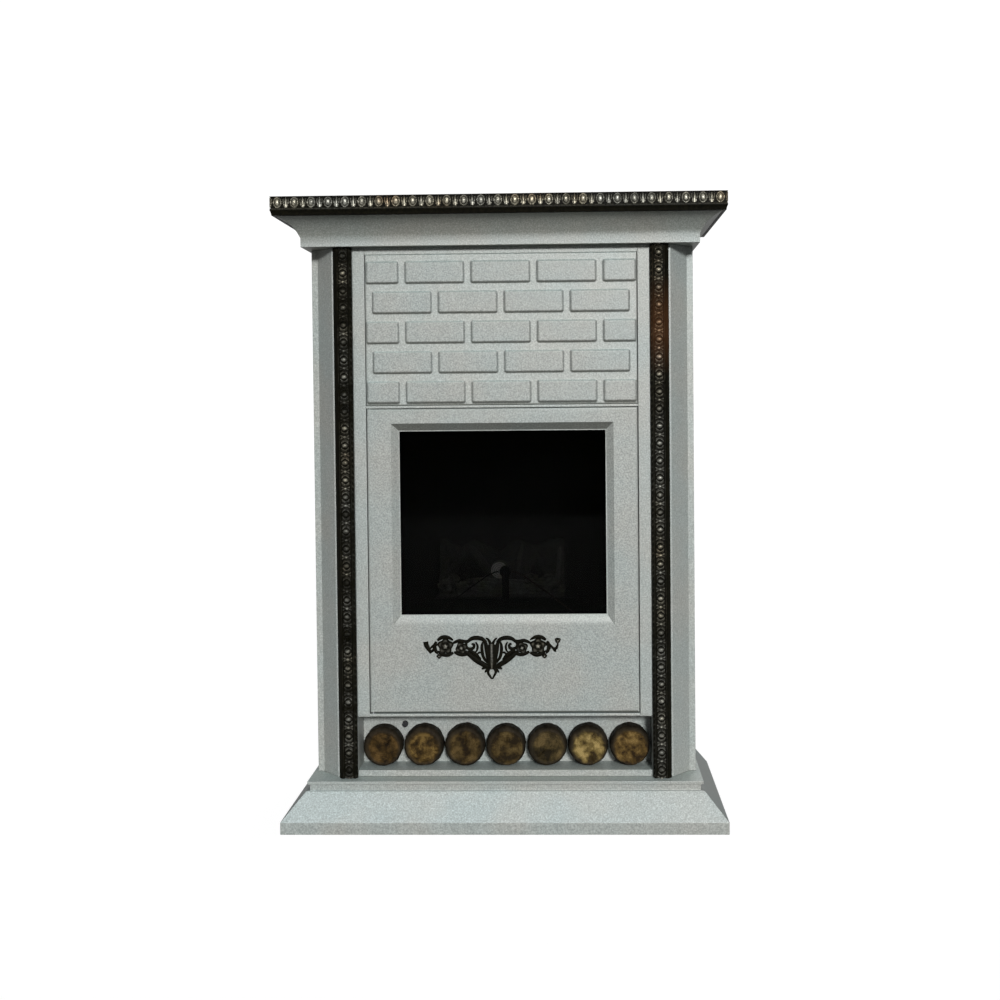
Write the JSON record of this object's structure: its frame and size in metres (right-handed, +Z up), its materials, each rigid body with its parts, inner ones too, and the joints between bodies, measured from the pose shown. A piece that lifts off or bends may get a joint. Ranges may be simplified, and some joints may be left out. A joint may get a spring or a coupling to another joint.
{
  "type": "gas fireplace",
  "caption": "Free-standing gas fireplace with a flared mantel, egg-and-dart trims, a brick-pattern panel, a hinged window panel and a log niche.",
  "frame": {"origin": "on the floor, under the middle of the overall width and depth", "axes": "+Z up, -Y out of the front, +X to the right of someone who faces the front"},
  "size_m": [0.753, 0.392, 1.056],
  "materials": {
    "hammered_paint": "silver-grey hammered enamel, satin",
    "black_bronze": "black-brown bronze lacquer, rubbed bright on the high points",
    "galvanised_steel": "dull zinc",
    "black_enamel": "matt heat-proof enamel",
    "dark_glass": "dark polished ceramic glass",
    "ceramic_rope": "woven flat seal",
    "ceramic_fibre": "rough cast",
    "log": "sawn face, bark round the rim",
    "brass": "turned",
    "copper": "drawn copper",
    "black_plastic": "matt"
  },
  "bodies": {
    "cabinet": {"plinth_front": "hammered_paint", "plinth_left": "hammered_paint", "plinth_right": "hammered_paint", "plinth_rear": "hammered_paint", "hearth_plate": "hammered_paint", "column_left": "hammered_paint", "column_right": "hammered_paint", "stile_left": "hammered_paint", "stile_right": "hammered_paint", "side_panel_left": "hammered_paint", "side_panel_right": "hammered_paint", "bottom_rail": "hammered_paint", "middle_rail": "hammered_paint", "top_rail": "hammered_paint", "rear_cover": "hammered_paint", "mantel_cove_front": "hammered_paint", "mantel_cove_left": "hammered_paint", "mantel_cove_right": "hammered_paint", "mantel_shelf": "hammered_paint", "mantel_trim_front": "black_bronze", "mantel_trim_left": "black_bronze", "mantel_trim_right": "black_bronze", "column_trim_left": "black_bronze", "column_trim_right": "black_bronze", "brick_panel": "hammered_paint", "hinge_pin_upper": "galvanised_steel", "hinge_pin_lower": "galvanised_steel", "magnetic_catch": "black_plastic", "log_tray": "hammered_paint", "log_1": "log", "log_2": "log", "log_3": "log", "log_4": "log", "log_5": "log", "log_6": "log", "log_7": "log", "piezo_igniter": "black_plastic", "firebox_shelf": "galvanised_steel", "firebox_shell": "black_enamel", "firebox_roof": "black_enamel", "burner_box": "black_enamel", "ceramic_fire_bed": "ceramic_fibre", "pilot_burner": "brass", "flue_hood": "galvanised_steel", "flue_collar": "galvanised_steel", "gas_valve": "galvanised_steel", "knob_bezel": "galvanised_steel", "gas_inlet_pipe": "galvanised_steel", "burner_pipe": "copper", "thermocouple": "copper", "ignition_lead": "black_plastic"},
    "door": {"window_panel": "hammered_paint", "glass_gasket": "ceramic_rope", "window_glass": "dark_glass", "glass_retainer_upper": "galvanised_steel", "glass_retainer_lower": "galvanised_steel", "scroll_applique": "black_bronze"},
    "igniter": {"igniter_button": "black_plastic"},
    "spindle": {"valve_spindle": "galvanised_steel"},
    "knob": {"control_knob": "black_plastic"}
  },
  "joints": [
    {"name": "door_swing", "type": "hinge", "parent": "cabinet", "child": "door", "pos_m": [-0.224, -0.1237, 0.1885], "axis": [0, 0, -1], "range_deg": [0, 95]},
    {"name": "igniter_push", "type": "slide", "parent": "cabinet", "child": "igniter", "axis": [0, 1, 0], "range_m": [0, 0.006], "stiffness_N_per_m": 300},
    {"name": "valve_turn", "type": "hinge", "parent": "cabinet", "child": "spindle", "pos_m": [0.06, -0.0737, 0.24], "axis": [0, 1, 0], "range_deg": [0, 240]},
    {"name": "knob_push", "type": "slide", "parent": "spindle", "child": "knob", "axis": [0, 1, 0], "range_m": [0, 0.004], "stiffness_N_per_m": 400}
  ]
}
